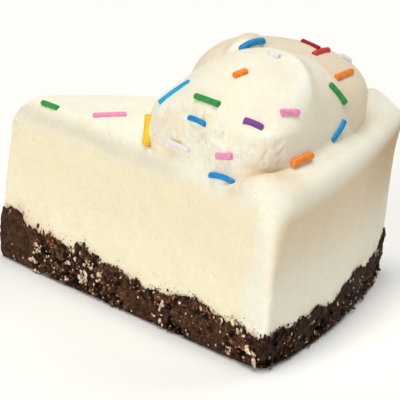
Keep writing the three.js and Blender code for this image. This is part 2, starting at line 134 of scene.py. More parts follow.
# Sprinkles on the swirl: colour, heading and climb from the swirl's centre and turn on the surface in
# degrees, then length, radius and bend in millimetres
SWIRL_SPRINKLES = [
    ("amber", -129, -4, -52, 7.9, 1.0, 0.2),
    ("light_blue", -123, 18, 81, 9.5, 0.7, 0.7),
    ("green", -92, 19, 1, 8.2, 0.8, 0.0),
    ("blue", -94, 10, -2, 5.8, 0.7, 0.2),
    ("orange", -80, 35, 51, 3.7, 0.9, 0.0),
    ("blue", 169, 83, 7, 8.4, 0.95, 0.6),
    ("white", -52, 56, -88, 3.3, 0.85, 0.0),
    ("dark_red", 61, 41, -163, 6.4, 0.65, 0.2),
    ("red", 43, 41, -24, 8.3, 0.85, 0.3),
    ("white", 46, 27, -81, 3.4, 0.8, 0.0),
    ("orange", 19, 28, -5, 9.2, 0.85, 0.0),
    ("green", -2, 22, -60, 6.7, 0.8, 0.2),
    ("blue", -8, 0, -147, 7.2, 0.8, 0.5),
    ("pink", -54, 17, -8, 5.2, 0.9, 0.0),
    ("purple", -70, 12, -27, 5.0, 0.9, 0.3),
    ("orange", -48, -3, -1, 9.0, 0.95, 0.1),
    ("white", -104, -4, -1, 7.5, 0.65, 0.2),
    ("pink", -80, -1, 11, 4.3, 0.85, 0.0),
    ("blue", -80, -9, -2, 7.1, 0.75, 0.5),
]

# Sprinkles on the flat top: colour, plan position, bearing, length, radius, bend
TOP_SPRINKLES = [
    ("green", 14.3, -5.4, -28, 6.6, 0.75, 0.0),
    ("pink", 31.4, -7.5, 39, 8.5, 0.85, 0.1),
]
SPRINKLE_RISE = 0.2
ROD_SIDES = 14

SPRINKLE_COLOURS = {
    "green": (0.035, 0.30, 0.065),
    "pink": (0.86, 0.30, 0.53),
    "amber": (0.95, 0.55, 0.02),
    "light_blue": (0.006, 0.38, 0.74),
    "blue": (0.007, 0.26, 0.62),
    "orange": (0.92, 0.25, 0.02),
    "white": (0.83, 0.78, 0.83),
    "dark_red": (0.33, 0.008, 0.02),
    "red": (0.64, 0.035, 0.05),
    "purple": (0.20, 0.055, 0.30),
}

# Tones painted on the creams, painted light and shade among them
WHIPPED_TONE = np.array([0.945, 0.925, 0.81])
ICE_CREAM_TONE = np.array([0.945, 0.875, 0.665])
LOW_TONE = np.array([0.965, 0.91, 0.70])
SHADED_TONE = np.array([0.80, 0.745, 0.62])
YELLOW_TONE = np.array([0.93, 0.84, 0.57])
# Warm stains along the crust; also painted shade in the crease at the swirl's foot
STAIN_AND_SHADE_TONE = np.array([0.72, 0.47, 0.27])
# Painted shade on the swirl's lobes behind, its flank, right of the crest and at its foot
PAINTED_SHADE_TONE = np.array([0.84, 0.74, 0.59])
# Painted light: the front cap's lit tone
LIT_CAP_TONE = np.array([0.93, 0.885, 0.755])
# Painted highlight by the cap's crest and on the far rim's top
PAINTED_HIGHLIGHT_TONE = np.array([0.985, 0.97, 0.88])

# Tones painted on the crust
CRUMB_TONE = np.array([0.080, 0.037, 0.0185])
RUSSET_TONE = np.array([0.20, 0.080, 0.030])
FLECK_TONE = np.array([0.86, 0.72, 0.54])

# Camera
CAMERA_PLACE = Vector((304.1, -803.8, 306.7)) * MM
CAMERA_AIM = Vector((7.57, -1.83, 25.84)) * MM
CAMERA_ROLL = math.radians(4.32)
LENS_MM = 321.9
SENSOR_MM = 36

# Lights: name, direction, strength, spread in degrees and colour
SUNS = [
    ("front", (0.23, 0.91, -0.34), 1.37, 35, (1.0, 0.98, 0.93)),
    ("overhead", (-0.02, 0.17, -0.98), 1.95, 35, (0.99, 0.985, 0.95)),
    ("back_right", (-0.22, -0.60, -0.77), 0.80, 35, (1.0, 1.0, 0.93)),
    ("side", (-0.93, 0.10, -0.34), 0.25, 50, (1.0, 0.94, 0.86)),
    ("back_left", (0.60, -0.72, -0.34), 0.30, 50, (1.0, 1.0, 1.0)),
]
WORLD_COLOUR = (1.0, 0.94, 0.88, 1)
WORLD_STRENGTH = 0.04

# Floor, in metres
FLOOR_SIZE = 6
FLOOR_GAP = 0.0002


# ------------ numbers

def soft_min(a, b, k):
    h = np.clip(0.5 + 0.5 * (b - a) / k, 0, 1)
    return b * (1 - h) + a * h - k * h * (1 - h)


def soft_max(a, b, k):
    return -soft_min(-a, -b, k)


def hump(value, middle, width):
    return np.exp(-((value - middle) / width) ** 2)


def smooth_step(value):
    t = np.clip(value, 0, 1)
    return t * t * (3 - 2 * t)


def rise(value, start, reach):
    """From none at the start to one after the reach."""
    return smooth_step((value - start) / reach)


def fall(value, end, reach):
    """From one before the reach to none at the end."""
    return smooth_step((end - value) / reach)


def blend(first, second, share):
    return first + (second - first) * share[:, None]


def lattice_value(i, j, k):
    """Seeded numbers between 0 and 1 on a lattice of whole numbers."""
    i, j, k = (np.atleast_1d(a).astype(np.int64).astype(np.uint32) for a in (i, j, k))
    n = i * np.uint32(374761393) + j * np.uint32(668265263) + k * np.uint32(1274126177)
    n = (n ^ (n >> np.uint32(13))) * np.uint32(1103515245)
    return (n ^ (n >> np.uint32(16))).astype(np.float64) / 4294967296.0


def noise(points, size, seed=0):
    """Smooth noise between 0 and 1, with lumps of the given size."""
    q = points / size + seed * 17.0
    base = np.floor(q)
    u, v, w = smooth_step(q - base).T
    i, j, k = base.T

    def corner(di, dj, dk):
        return lattice_value(i + di, j + dj, k + dk)

    def layer(dk):
        low = corner(0, 0, dk) * (1 - u) + corner(1, 0, dk) * u
        high = corner(0, 1, dk) * (1 - u) + corner(1, 1, dk) * u
        return low * (1 - v) + high * v

    return layer(0) * (1 - w) + layer(1) * w


def cloud(points, size, seed):
    """Noise with no grain along the axes: its places are turned and stirred first."""
    q = points @ SKEW
    stir = np.stack([noise(q, size * 1.3, seed + n) for n in (5, 6, 7)], axis=1) - 0.5
    return noise(q + 1.2 * size * stir, size, seed)


def layered_noise(points, size, octaves, seed):
    """Noise from about -1 to 1, each octave half the size and half the height."""
    total = np.zeros(len(points))
    for octave in range(octaves):
        total += (noise(points, size / 2 ** octave, seed + octave) - 0.5) * 2 / 2 ** octave
    return total / 1.5


def pebbles(points, size, seed):
    """Distance to the nearest seeded pebble in pebble sizes, gap to the next one, and its own number."""
    q = points / size
    cell = np.floor(q).astype(int)
    nearest = np.full(len(points), 9.0)
    second = np.full(len(points), 9.0)
    number = np.zeros(len(points))
    for shift in np.ndindex(3, 3, 3):
        i, j, k = (cell + shift - 1).T
        jitter = np.stack([lattice_value(i + seed * 7, j + n * 101, k) for n in (1, 2, 3)], axis=1)
        gap = np.linalg.norm(np.stack([i, j, k], axis=1) + jitter - q, axis=1)
        closer = gap < nearest
        second = np.where(closer, nearest, np.minimum(second, gap))
        number = np.where(closer, lattice_value(i, j + 53, k + seed), number)
        nearest = np.minimum(nearest, gap)
    return nearest, second - nearest, number


# ------------ the form, negative inside

def near_cut(p):
    return -(p[:, 0] * math.sin(HALF_ANGLE) + p[:, 1] * math.cos(HALF_ANGLE))


def far_cut(p):
    return -(p[:, 0] * math.sin(HALF_ANGLE) - p[:, 1] * math.cos(HALF_ANGLE))


def outer_wall(p):
    flare = WALL_FLARE * (p[:, 2] - 10)
    lip = LIP_FLARE * rise(p[:, 1], 15, 25) * hump(p[:, 2], LIP_HEIGHT, 8)
    return np.hypot(p[:, 0] - WALL_MIDDLE, p[:, 1]) - WALL_RADIUS - flare - lip


def cut_sides(p):
    rounding = TIP_EDGE + TIP_EDGE_GAIN * np.clip((p[:, 2] - 10) / 30, 0, 1)
    return soft_max(near_cut(p), far_cut(p), rounding)


def wall_rounding(p):
    """How softly the outer wall meets the cuts and the top: crisp, softer up the near corner."""
    top_and_foot = CORNER_TOP_GAIN * rise(p[:, 2], 24, 16) + CORNER_FOOT_GAIN * fall(p[:, 2], 7, 6)
    near_corner = np.exp(np.minimum(near_cut(p), 0) / 5) * top_and_foot
    return WALL_EDGE + near_corner - FAR_CORNER_LOSS * rise(p[:, 1], 25, 12)


def wedge_sides(p):
    return soft_max(cut_sides(p), outer_wall(p), wall_rounding(p))


def ellipsoid(lobe, p):
    """Distance to a lobe, pitched in the upright plane along X."""
    centre, radii, pitch, power = (*lobe, 2)[:4]
    turn = math.radians(pitch)
    d = p - centre
    q = np.stack([d[:, 0] * math.cos(turn) + d[:, 2] * math.sin(turn), d[:, 1],
                  -d[:, 0] * math.sin(turn) + d[:, 2] * math.cos(turn)], axis=1)
    share = np.abs(q) / radii
    level = np.maximum(np.sum(share ** power, axis=1) ** (1 / power), 1e-9)
    slope = np.linalg.norm((share / level[:, None]) ** (power - 1) / radii, axis=1)
    return (level - 1) / np.maximum(slope, 1e-9)


def swirl_flank(p):
    """Steep side of the swirl's foot, which keeps clear of the near corner and the outer wall."""
    height = p[:, 2] - FLANK_FOOT
    hollow = FLANK_HOLLOW * hump(height, 0.8, 3.4)
    front = -(p[:, 1] + 37.2) + FLANK_LEAN * height + hollow
    corner = 0.77 * (p[:, 0] - 85.9) - 0.64 * (p[:, 1] + 34.6) + FLANK_LEAN * height + hollow
    right = outer_wall(p) + 4.8 + FLANK_LEAN * height + 0.5 * hollow
    return soft_max(soft_max(front, corner, 4), right, 5) / 1.05


def shelf(p):
    """The torn ledge in front of the swirl."""
    left = -0.953 * (p[:, 0] - 48.5) - 0.304 * (p[:, 1] + 22)
    sides = soft_max(left, p[:, 1] + 4, 8)
    return soft_max(soft_max(sides, p[:, 2] - SHELF_TOP, 9.5), SHELF_FLOOR - p[:, 2], 2)


def past_crest(p):
    """Distance in plan to the right of the front cap's crest, a curved line."""
    y = np.clip(p[:, 1] + 20, 0, 27)
    return (p[:, 0] - 87.7 + 0.034 * y ** 2) / np.hypot(1, 0.068 * y)


def front_cap(p):
    """The broad bright lobe in front, drawn out to the right, with a crest along its right side."""
    middle = FRONT_CAP[0][0]
    drawn_in = p.copy()
    drawn_in[:, 0] = np.where(p[:, 0] > middle, middle + CAP_DRAWN_OUT * (p[:, 0] - middle), p[:, 0])
    past = past_crest(p)
    crest = np.where(past < 0, np.clip(1 + past / 8, 0, 1) ** 1.6, 1 - smooth_step(past / 3.5))
    crest *= rise(p[:, 2], 51, 4) * (1 - rise(p[:, 1], -5, 8))
    return ellipsoid(FRONT_CAP, drawn_in) - CREST_HEIGHT * crest


def cap_and_tongue(p):
    return soft_min(front_cap(p), ellipsoid(FRONT_TONGUE, p), 6)


def swirl_lobes(p):
    """The swirl: shelf and cap trimmed by the flank, the left lobe with its curl, and the lobe behind."""
    d = soft_max(soft_min(shelf(p), cap_and_tongue(p), 3), swirl_flank(p), 2.5)
    left = soft_min(ellipsoid(LEFT_LOBE, p), ellipsoid(CURL, p), 0.8)
    fold = 0.9 * hump(d, left, FOLD_WIDTH)
    d = soft_min(d, left, 0.4) + fold
    return soft_min(d, ellipsoid(BACK_LOBE, p), 2.2 + 3.6 * rise(p[:, 0], 72, 8))


def top_level(p):
    """Height above the flat top, with the raised rim and its outer slope along the outer wall."""
    wall = outer_wall(p)
    far = rise(p[:, 1], 15, 20)
    rim = (RIM_HEIGHT + RIM_RISE_PER_Y * p[:, 1] - 0.2 * far) * hump(wall, -RIM_INSET + 1.2 * far, 5)
    lumps = 0.30 * layered_noise(p * (1, 1, 0), 13, 2, 5)
    drop = SLOPE_DROP_AT_CUT * np.exp(np.minimum(near_cut(p), 0) / 9)
    edge = SLOPE_EDGE + SLOPE_RISE_PER_Y * p[:, 1] - drop
    slope = (p[:, 2] - edge + SLOPE_STEEPNESS * wall) / 1.33
    return soft_max(p[:, 2] - TOP - rim - lumps, slope, 3.5)


def cream_form(p):
    """Ice cream, coat and swirl together, before the fine relief."""
    flat = top_level(p)
    lobes = swirl_lobes(p)
    on_right = rise(p[:, 0], 62, 14) * rise(p[:, 1], -31, 8)
    fold = 0.8 * (1 - on_right) * hump(flat, lobes, FOLD_WIDTH)
    top = soft_min(flat, lobes, 0.4 + 0.7 * on_right) + fold
    over_swirl = smooth_step(0.5 + (flat - lobes) / 5)
    near_side = 1 - rise(p[:, 1], -5, 25)
    body_edge = 2.6 + 7 * hump(p[:, 0], 0, 11) + (2 + 4 * near_side) * hump(outer_wall(p), 0, 9)
    swirl_edge = 1.8 + 2.5 * rise(p[:, 0], 66, 12)
    d = soft_max(cut_sides(p), top, body_edge * (1 - over_swirl) + swirl_edge * over_swirl)
    d = soft_max(d, outer_wall(p), wall_rounding(p))
    return np.maximum(d, CREAM_FLOOR - p[:, 2])


def cream_field(p):
    """The creams with their relief."""
    return cream_form(p) - cream_relief(p)


def crust_line(p):
    """Height of the ragged line between crust and cream."""
    x, y = p[:, 0], p[:, 1]
    flat = p * (1, 1, 0)
    humps = sum(height * hump(x, place, width) for height, place, width in LINE_HUMPS)
    on_wall = hump(outer_wall(flat + (0, 0, CRUST_HEIGHT)), 0, 7)
    wall_line = -0.8 - 1.5 * hump(y, -9, 5) + 1.8 * hump(y, 9, 7) + 3.0 * rise(y, 31, 10)
    ragged = LINE_RAGGED * (noise(flat, 3.0) - 0.5)
    return CRUST_HEIGHT + TIP_RISE * (1 - rise(x, 7, 5)) + humps + on_wall * wall_line + ragged


def crust_crumbs(p):
    """The coarse crumbs that the solid has as well."""
    coarse = noise(p, 4.2) - 0.55
    fine = noise(p, 2.1) - 0.5
    return 1.5 * (0.65 * coarse + 0.35 * fine)


def slope_of(field, p, step):
    """How fast the field rises along each axis."""
    slope = np.zeros_like(p)
    for axis in range(3):
        shift = np.zeros(3)
        shift[axis] = step
        slope[:, axis] = (field(p + shift) - field(p - shift)) / (2 * step)
    return slope


def normals_of(field, p, step=0.25):
    slope = slope_of(field, p, step)
    return slope / np.maximum(np.linalg.norm(slope, axis=1, keepdims=True), 1e-9)


def cast(field, centres, aims, near=0.02, far=3.2, stride=0.04):
    """Where the ray from each centre through its aim first leaves the form."""
    span = aims - centres
    inside = np.full(len(aims), near)
    outside = np.full(len(aims), far)
    searching = np.arange(len(aims))
    t = near
    while len(searching) and t < far:
        t += stride
        out = field(centres[searching] + span[searching] * t) > 0
        outside[searching[out]] = t
        inside[searching[~out]] = t
        searching = searching[~out]
    for _ in range(14):
        middle = (inside + outside) / 2
        out = field(centres + span * middle[:, None]) > 0
        outside = np.where(out, middle, outside)
        inside = np.where(out, inside, middle)
    return centres + span * inside[:, None]


def push_along_rays(points, centres, normals, relief):
    """Moves points along their rays so that they stand out by relief along the normal."""
    ray = points - centres
    ray /= np.linalg.norm(ray, axis=1, keepdims=True)
    lean = np.maximum(np.sum(ray * normals, axis=1), 0.3)
    return points + ray * (relief / lean)[:, None]


# ------------ meshes

def to_frame(points):
    return (points - (CENTRE_X, 0, 0)) * MM


def from_frame(piece):
    """The piece's points in millimetres."""
    flat = np.empty(3 * len(piece.data.vertices), np.float32)
    piece.data.vertices.foreach_get("co", flat)
    return flat.reshape(-1, 3) / MM + (CENTRE_X, 0, 0)


def shell_faces(rows, columns):
    """Faces of rows of points closed round, with a pole before the first row and one after the last."""
    row, column = np.meshgrid(np.arange(rows - 1), np.arange(columns), indexing="ij")
    a = 1 + row * columns + column
    b = 1 + row * columns + (column + 1) % columns
    quads = np.stack([a, b, b + columns, a + columns], axis=-1).reshape(-1, 4)
    ring = np.arange(columns)
    after = (ring + 1) % columns
    last = 1 + (rows - 1) * columns
    pole = 1 + rows * columns
    low = np.stack([np.zeros(columns, int), 1 + after, 1 + ring], axis=1)
    high = np.stack([np.full(columns, pole), last + ring, last + after], axis=1)
    return quads, np.concatenate([low, high])


def make_piece(name, points, quads, triangles, material, slot):
    """A mesh object from points in millimetres; it rides on the cake."""
    loops = np.concatenate([quads.ravel(), triangles.ravel()])
    sizes = np.repeat([4, 3], [len(quads), len(triangles)])
    mesh = bpy.data.meshes.new(name)
    mesh.vertices.add(len(points))
    mesh.vertices.foreach_set("co", to_frame(points).astype(np.float32).ravel())
    mesh.loops.add(len(loops))
    mesh.loops.foreach_set("vertex_index", loops.astype(np.int32))
    mesh.polygons.add(len(sizes))
    mesh.polygons.foreach_set("loop_start", (np.cumsum(sizes) - sizes).astype(np.int32))
    mesh.update(calc_edges=True)
    mesh.validate()
    smooth_faces(mesh)
    mesh.materials.append(material)
    piece = bpy.data.objects.new(name, mesh)
    bpy.context.scene.collection.objects.link(piece)
    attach(piece, "root")
    return piece


def smooth_faces(mesh):
    mesh.polygons.foreach_set("use_smooth", np.ones(len(mesh.polygons), bool))


def paint(piece, colours):
    """Keeps one colour per vertex for the piece's material."""
    layer = piece.data.color_attributes.new("tone", "FLOAT_COLOR", "POINT")
    full = np.concatenate([colours, np.ones((len(colours), 1))], axis=1)
    layer.data.foreach_set("color", full.astype(np.float32).ravel())


def shade_by_form(piece):
    """Shading normals from the cream's own slope, so that no line shows where two pieces meet."""
    points = from_frame(piece)
    flat = np.empty(3 * len(points), np.float32)
    piece.data.vertex_normals.foreach_get("vector", flat)
    normals = flat.reshape(-1, 3).astype(float)
    outside = np.abs(cream_field(points)) < 0.15
    normals[outside] = normals_of(cream_field, points[outside], 0.3)
    piece.data.normals_split_custom_set_from_vertices(normals.tolist())


def boolean(piece, cutter, operation):
    """Cuts or keeps the piece by the cutter."""
    change = piece.modifiers.new("knife", "BOOLEAN")
    change.operation = operation
    change.object = cutter
    change.solver = "MANIFOLD"
    bpy.context.view_layer.update()
    graph = bpy.context.evaluated_depsgraph_get()
    cut = bpy.data.meshes.new_from_object(piece.evaluated_get(graph))
    piece.modifiers.clear()
    old = piece.data
    piece.data = cut
    bpy.data.meshes.remove(old)


# ------------ outlines

def wall_point(sweep_share):
    """Plan points on the outer wall, from -1 at the near corner to 1 at the far corner."""
    turn = np.asarray(sweep_share) * math.asin(HALF_CHORD / WALL_RADIUS)
    return np.stack([WALL_MIDDLE + WALL_RADIUS * np.cos(turn), WALL_RADIUS * np.sin(turn)], axis=-1)


def outline(near_count, wall_count, far_count):
    """The wedge in plan, anticlockwise from the tip."""
    corner = np.array([CUT_REACH, -HALF_CHORD])
    near = corner * (np.arange(near_count) / near_count)[:, None]
    wall = wall_point(2 * np.arange(wall_count) / wall_count - 1)
    far = corner * (1, -1) * (1 - np.arange(far_count) / far_count)[:, None]
    return np.concatenate([near, wall, far])


def at_height(plan, z):
    """The plan points at one height, or each at its own."""
    return np.column_stack([plan, np.broadcast_to(z, len(plan))])


# ------------ relief and tones of the creams

def cut_share(p, reach, width):
    """One on the two cut faces and a little way in, none deeper."""
    return smooth_step((reach + np.maximum(near_cut(p), far_cut(p))) / width)


def torn_share(p):
    """One in the torn patch where the knife went through the swirl, none elsewhere."""
    edge = 2.0 * (noise(p, 5.0, 16) - 0.5)
    return smooth_step((p[:, 2] - 42 + edge) / 4) * smooth_step((p[:, 0] - 47 + edge) / 3)


def flank_share(p):
    """One on the swirl's flank above the near corner."""
    return rise(p[:, 2], 45.5, 2) * fall(p[:, 2], 57, 5) * fall(p[:, 1], -26, 5)


def crumbled(p, patch):
    """Depth of the broken texture where the knife dragged the cream, coarser in the torn patch."""
    coarse = rise(cloud(p, 3.6, 13), 0.42, 0.3)
    fine = rise(cloud(p, 1.5, 14), 0.46, 0.25)
    return 0.42 * coarse * patch + (0.22 + 0.08 * patch) * fine + 0.30 * (cloud(p, 0.9, 17) - 0.5)


def cream_relief(p):
    """Relief of the creams: torn on the cut faces, nearly smooth on the top, the wall and the swirl."""
    cut = cut_share(p, 3.0, 2.0)
    drag = 0.12 * layered_noise(p * (1, 1, 2.2), 9, 2, 11)
    grain = 0.05 * layered_noise(p @ SKEW, 1.6, 1, 12)
    pits = -0.25 * rise(noise(p, 1.6, 15), 0.82, 0.1)
    soft = 0.12 * layered_noise(p @ SKEW, 7, 1, 21)
    relief = cut * (drag + grain + pits) + (1 - cut) * soft
    torn = cut * torn_share(p)
    rough = np.maximum(torn, flank_share(p))
    here = rough > 0.01
    relief[here] -= rough[here] * crumbled(p[here], torn[here])
    return relief


def painted_shade_share(p):
    """Where shade is painted: one on the swirl's lobes behind, about half on its flank and right of the
    crest.
    """
    front = cap_and_tongue(p)
    flank = 0.5 * smooth_step((swirl_flank(p) - np.minimum(front, shelf(p))) / 1.6)
    flank *= fall(near_cut(p), -1.5, 3)
    lobes = np.minimum(ellipsoid(BACK_LOBE, p), ellipsoid(LEFT_LOBE, p))
    behind = smooth_step(0.5 + np.maximum(front, swirl_flank(p)) - lobes)
    beyond = 0.55 * smooth_step(0.5 + past_crest(p) / 1.2) * rise(p[:, 2], 50, 4)
    return np.maximum(flank, np.maximum(behind, beyond)) * rise(p[:, 2], 45, 3)


def cap_share(p):
    """One on the surface of the front cap."""
    return smooth_step(1 - front_cap(p) ** 2 / 2) * rise(p[:, 2], 50, 4)


def wall_shade(p):
    """The outer wall is duller and warmer towards its top and its far side."""
    on_wall = smooth_step(1 + outer_wall(p) / 2.5) * smooth_step((43 + 0.05 * p[:, 1] - p[:, 2]) / 5)
    high = rise(p[:, 2], 12, 28)
    across = rise(p[:, 1], -5, 45)
    lit = 1 + 0.05 * on_wall * (1 - high)
    upper = (on_wall * high)[:, None] * np.array([0.12, 0.27, 0.42])
    far = (on_wall * across * (0.35 + 0.65 * high))[:, None] * np.array([0.28, 0.30, 0.34])
    return lit[:, None] - upper - far


def layer_tone(p, cut):
    """The layers, which run softly into each other at the cut, and the shade under the top's edge."""
    depth_below_top = TOP - TOP_COAT + 1.6 * layered_noise(p, 11, 2, 81) - p[:, 2]
    depth_in_wall = -WALL_COAT + 1.2 * layered_noise(p, 9, 2, 82) - outer_wall(p)
    inner = smooth_step(0.5 + depth_below_top / 5) * smooth_step(0.5 + depth_in_wall / 5)
    scoop = blend(ICE_CREAM_TONE, LOW_TONE, fall(p[:, 2], 27, 14))
    tone = blend(WHIPPED_TONE, scoop, inner * cut)
    tone *= 1 - (cut * hump(p[:, 2], 33, 9))[:, None] * np.array([0.015, 0.035, 0.05])
    under_edge = cut * hump(p[:, 2], TOP - 4.2 + 0.8 * layered_noise(p @ SKEW, 8, 1, 83), 2.6)
    return blend(tone, SHADED_TONE, 0.9 * under_edge * (1 - rise(p[:, 0], 52, 10)))


def swirl_tone(p, tone, cut):
    """Painted light and shade on the swirl: the front cap's lit tone, a painted highlight by its crest,
    painted shade on the lobes behind and a painted highlight on the rim at the wall.
    """
    cap = cap_share(p)
    tone = blend(tone, LIT_CAP_TONE, cap)
    by_crest = cap * smooth_step(1 + past_crest(p) / 9) * rise(p[:, 2], 56, 4)
    tone = blend(tone, PAINTED_HIGHLIGHT_TONE, by_crest)
    tone = blend(tone, PAINTED_SHADE_TONE, painted_shade_share(p) * (1 - 0.5 * cut))
    rim = hump(outer_wall(p), -3, 5) * rise(p[:, 1], 15, 20) * rise(p[:, 2], 44, 3)
    return blend(tone, PAINTED_HIGHLIGHT_TONE, rim)


def torn_tone(p, tone, cut):
    """Yellow patches and shaded specks where the knife dragged the cream, and painted shade on the shelf's
    left end.
    """
    torn = cut * torn_share(p)
    patches = rise(cloud(p, 3.4, 84) * 0.6 + cloud(p, 1.2, 85) * 0.4, 0.46, 0.2)
    tone = blend(tone, YELLOW_TONE, 0.5 * torn * patches * fall(p[:, 0], 76, 8))
    broken = np.maximum(torn, flank_share(p)) * rise(cloud(p, 0.9, 89), 0.45, 0.2)
    tone *= 1 - (0.8 * broken)[:, None] * np.array([0.06, 0.075, 0.10])
    upper = cut * rise(p[:, 2], 24, 12) * rise(cloud(p, 2.6, 86), 0.58, 0.2)
    tone = blend(tone, YELLOW_TONE, 0.4 * upper)
    return blend(tone, PAINTED_SHADE_TONE, 0.45 * torn * (1 - rise(p[:, 0], 55, 6)))


def foot_shade_and_stain_tone(p, tone):
    """Painted shade, dull and warm, in the crease at the swirl's foot above the near corner, and warm
    stains along the crust.
    """
    # Painted shade, dull and warm, in the crease at the swirl's foot
    foot = hump(top_level(p) - swirl_lobes(p), -0.8, 3.0) * rise(p[:, 0], 72, 5) * fall(p[:, 1], -25, 6)
    tone = blend(tone, PAINTED_SHADE_TONE, 0.9 * foot)
    tone = blend(tone, STAIN_AND_SHADE_TONE, 0.35 * foot * cloud(p, 2.0, 88))
    near_tip = hump(p[:, 0], 10, 5)
    line_width = 0.9 + 1.4 * near_tip
    near_line = np.exp(-np.maximum(p[:, 2] - crust_line(p), 0) / line_width)
    near_line *= smooth_step((cloud(p, 2.2, 87) - 0.35 + 0.25 * near_tip) / 0.3)
    return blend(tone, STAIN_AND_SHADE_TONE, 0.65 * near_line)


def cream_tone(p):
    """Colour of the creams."""
    cut = cut_share(p, 2.2, 1.6)
    tone = swirl_tone(p, layer_tone(p, cut), cut) * wall_shade(p)
    return foot_shade_and_stain_tone(p, torn_tone(p, tone, cut))


# ------------ materials

def new_material(name, roughness, specular):
    material = bpy.data.materials.new(name)
    material.use_nodes = True
    shader = material.node_tree.nodes["Principled BSDF"]
    shader.inputs["Roughness"].default_value = roughness
    shader.inputs["Specular IOR Level"].default_value = specular
    return material, material.node_tree, shader


def object_noise(tree, scale, detail, roughness=0.55):
    """A noise texture in the piece's own metres."""
    place = tree.nodes.new("ShaderNodeTexCoord")
    texture = tree.nodes.new("ShaderNodeTexNoise")
    for name, value in (("Scale", scale), ("Detail", detail), ("Roughness", roughness)):
        texture.inputs[name].default_value = value
    tree.links.new(place.outputs["Object"], texture.inputs["Vector"])
    return texture.outputs["Fac"]


def ramp(tree, value, stops):
    """Colours along a value; each stop is a position and a colour."""
    node = tree.nodes.new("ShaderNodeValToRGB")
    while len(node.color_ramp.elements) < len(stops):
        node.color_ramp.elements.new(0.5)
    for element, (position, colour) in zip(node.color_ramp.elements, stops):
        element.position = position
        element.color = (*colour, 1)
    tree.links.new(value, node.inputs["Fac"])
    return node.outputs["Color"]


def painted_tone(tree):
    node = tree.nodes.new("ShaderNodeVertexColor")
    node.layer_name = "tone"
    return node.outputs["Color"]


def multiply(tree, first, second):
    node = tree.nodes.new("ShaderNodeMix")
    node.data_type = "RGBA"
    node.blend_type = "MULTIPLY"
    node.inputs["Factor"].default_value = 1.0
    tree.links.new(first, node.inputs["A"])
    tree.links.new(second, node.inputs["B"])
    return node.outputs["Result"]


def bump(tree, shader, layers):
    """Stacks bumps, each a height socket with a strength and a distance in millimetres."""
    normal = None
    for height, strength, distance in layers:
        node = tree.nodes.new("ShaderNodeBump")
        node.inputs["Strength"].default_value = strength
        node.inputs["Distance"].default_value = distance * MM
        tree.links.new(height, node.inputs["Height"])
        if normal is not None:
            tree.links.new(normal, node.inputs["Normal"])
        normal = node.outputs["Normal"]
    tree.links.new(normal, shader.inputs["Normal"])


def cream_material(name, grain):
    material, tree, shader = new_material(name, 0.6, 0.22)
    cloudy = ramp(tree, object_noise(tree, 160, 4), [(0.30, (0.975, 0.965, 0.93)), (0.66, (1, 1, 1))])
    veins = ramp(tree, object_noise(tree, 700, 3), [(0.32, (0.97, 0.96, 0.92)), (0.60, (1, 1, 1))])
    toned = multiply(tree, multiply(tree, painted_tone(tree), cloudy), veins)
    tree.links.new(toned, shader.inputs["Base Color"])
    bump(tree, shader, [
        (object_noise(tree, 900, 3), 0.35 * grain, 0.25),
        (object_noise(tree, 2600, 2), 0.25 * grain, 0.12),
    ])
    return material


def crust_material(name):
    material, tree, shader = new_material(name, 0.75, 0.12)
    grains = [(0.36, (0.35, 0.32, 0.30)), (0.64, (1.45, 1.40, 1.32))]
    speckle = ramp(tree, object_noise(tree, 1500, 3, 0.7), grains)
    tree.links.new(multiply(tree, painted_tone(tree), speckle), shader.inputs["Base Color"])
    bump(tree, shader, [
        (object_noise(tree, 1100, 4, 0.7), 0.7, 0.4),
        (object_noise(tree, 3000, 2, 0.7), 0.4, 0.2),
    ])
    return material


def sprinkle_material(colour_name, colour):
    material, tree, shader = new_material("sugar_" + colour_name, 0.5, 0.2)
    deeper = tuple(c * 0.88 for c in colour)
    paler = tuple(min(1.0, c * 1.10 + 0.012) for c in colour)
    shades = [(0.3, deeper), (0.7, paler)]
    tree.links.new(ramp(tree, object_noise(tree, 900, 3), shades), shader.inputs["Base Color"])
    bump(tree, shader, [(object_noise(tree, 2200, 2), 0.25, 0.12)])
    return material


def floor_material():
    material, tree, shader = new_material("pale_floor", 0.8, 0.2)
    shades = [(0.3, (0.955, 0.955, 0.96)), (0.7, (0.97, 0.97, 0.975))]
    tree.links.new(ramp(tree, object_noise(tree, 3, 2), shades), shader.inputs["Base Color"])
    return material


# ------------ layers

def sample_grid():
    """A grid of points round the creams, and the creams' field on it; fine relief only near the surface."""
    low = np.array([-1.6, -46.0, CREAM_FLOOR - 1.3])
    high = np.array([97.0, 46.0, 71.0])
    axes = [np.arange(a, b, GRID_STEP) for a, b in zip(low, high)]
    values = np.empty([len(axis) for axis in axes])
    y, z = np.meshgrid(axes[1], axes[2], indexing="ij")
    for i, x in enumerate(axes[0]):
        sheet = np.stack([np.full(y.size, x), y.ravel(), z.ravel()], axis=1)
        d = cream_form(sheet)
        close = np.abs(d) < RELIEF_REACH
        d[close] -= cream_relief(sheet[close])
        values[i] = d.reshape(y.shape)
    return low, values


def cell_points(values, cells):
    """In grid steps, the mean of the places where the surface crosses each cell's edges."""
    total = np.zeros((len(cells), 3))
    crossings = np.zeros(len(cells))
    for first in CELL_CORNERS:
        for axis in range(3):
            if first[axis]:
                continue
            second = tuple(1 if k == axis else o for k, o in enumerate(first))
            a = values[tuple((cells + first).T)]
            b = values[tuple((cells + second).T)]
            hit = (a < 0) != (b < 0)
            place = np.tile(np.array(first, float), (len(cells), 1))
            place[:, axis] = np.where(hit, a / np.where(hit, a - b, 1), 0)
            total += place * hit[:, None]
            crossings += hit
    return cells + total / crossings[:, None]


